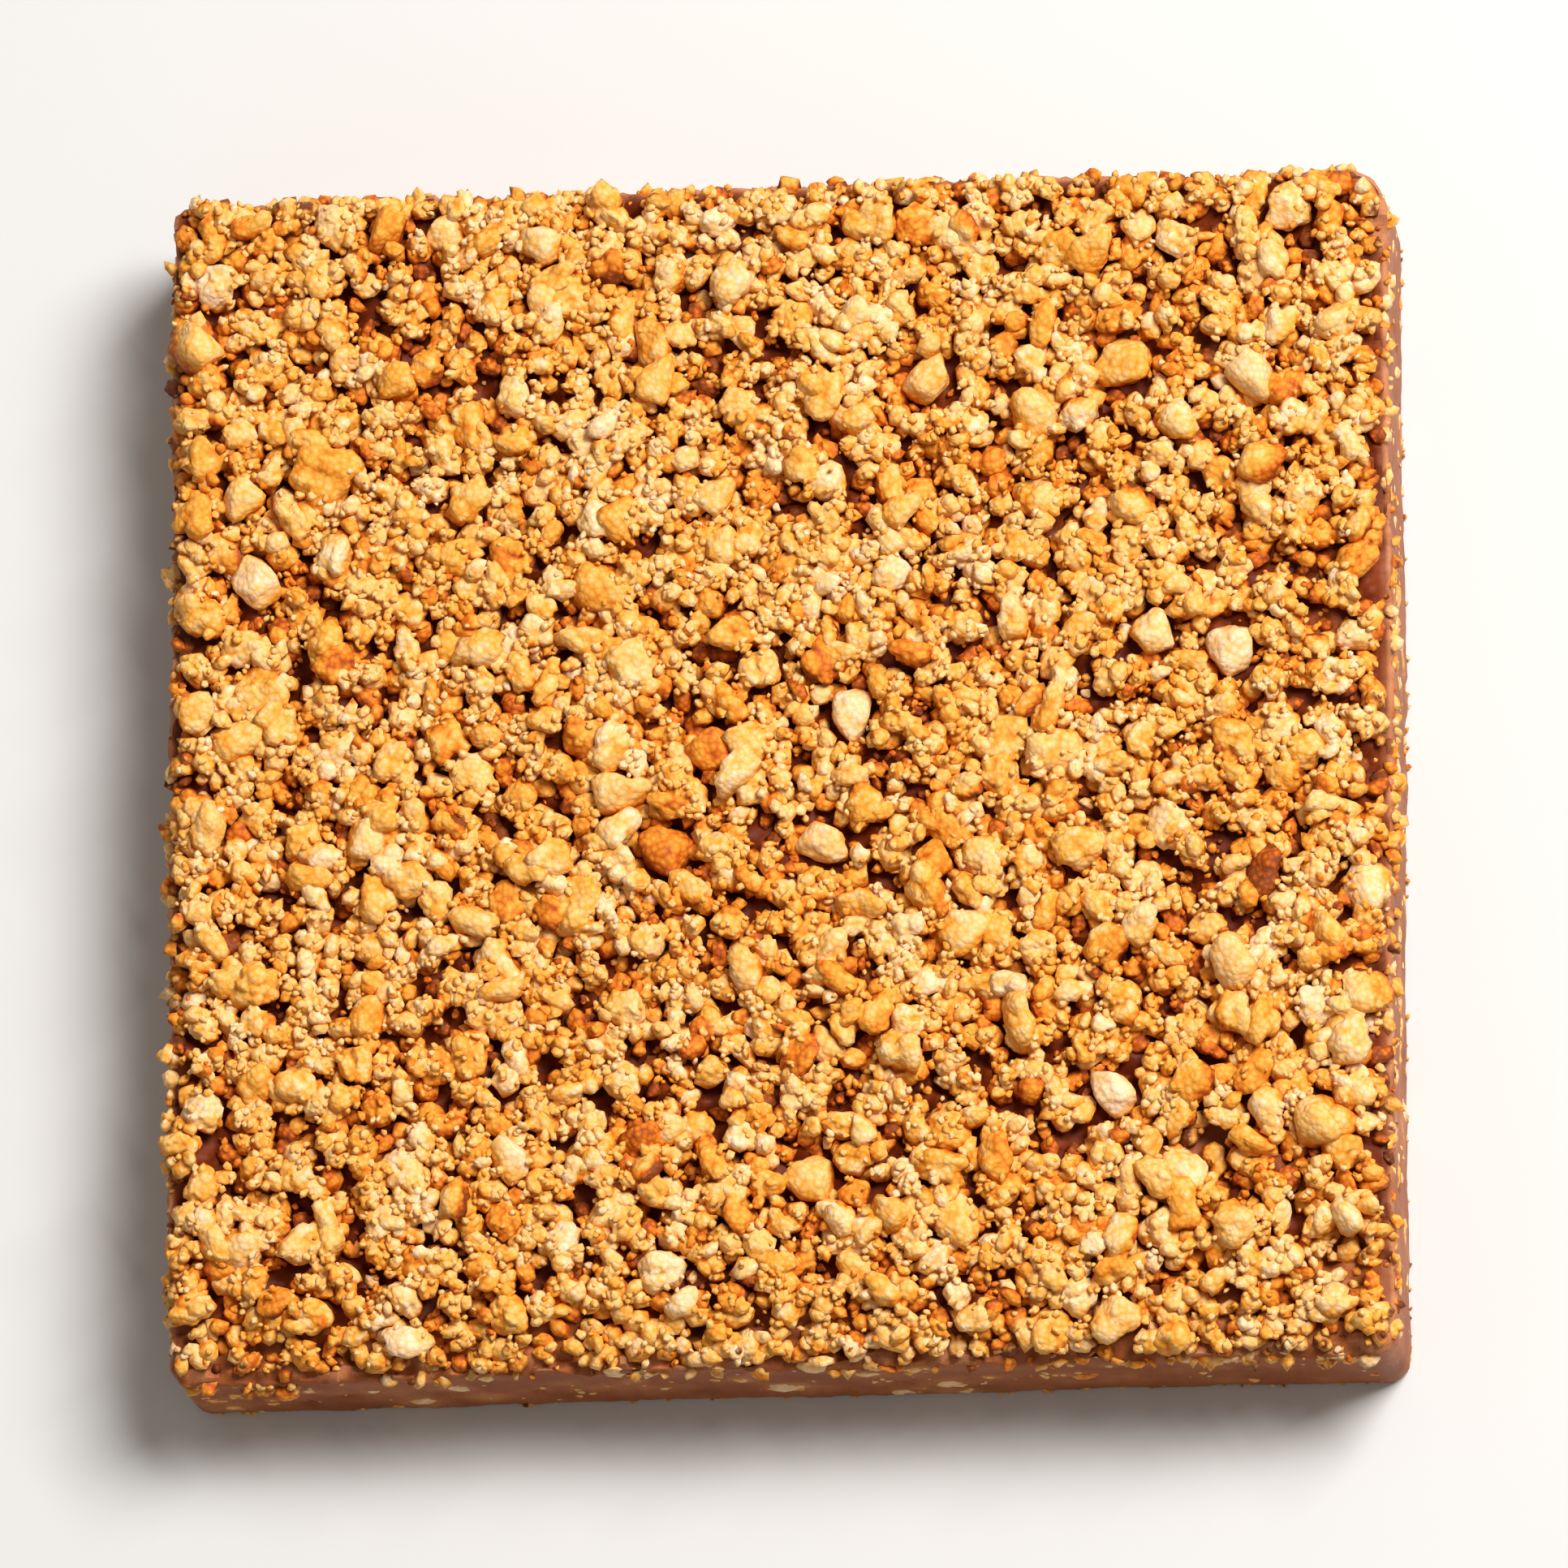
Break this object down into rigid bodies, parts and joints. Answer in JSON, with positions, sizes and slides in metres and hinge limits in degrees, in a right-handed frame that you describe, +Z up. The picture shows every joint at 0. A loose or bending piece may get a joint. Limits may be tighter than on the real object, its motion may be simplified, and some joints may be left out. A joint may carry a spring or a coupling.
{
  "type": "peanut bark square",
  "caption": "Flat square of milk chocolate bark with cut sides and a dense top of roasted peanut crumbs.",
  "frame": {"origin": "middle of the bounding box's underside, where the square rests", "axes": "+X to the right, +Y to the far edge, +Z up through the crumbs"},
  "size_m": [0.0642, 0.0632, 0.0112],
  "materials": {
    "bark": "matte roasted peanut crumbs on milk chocolate, stood in for by matte plastic"
  },
  "bodies": {
    "root": {"bark": "bark"}
  },
  "joints": []
}
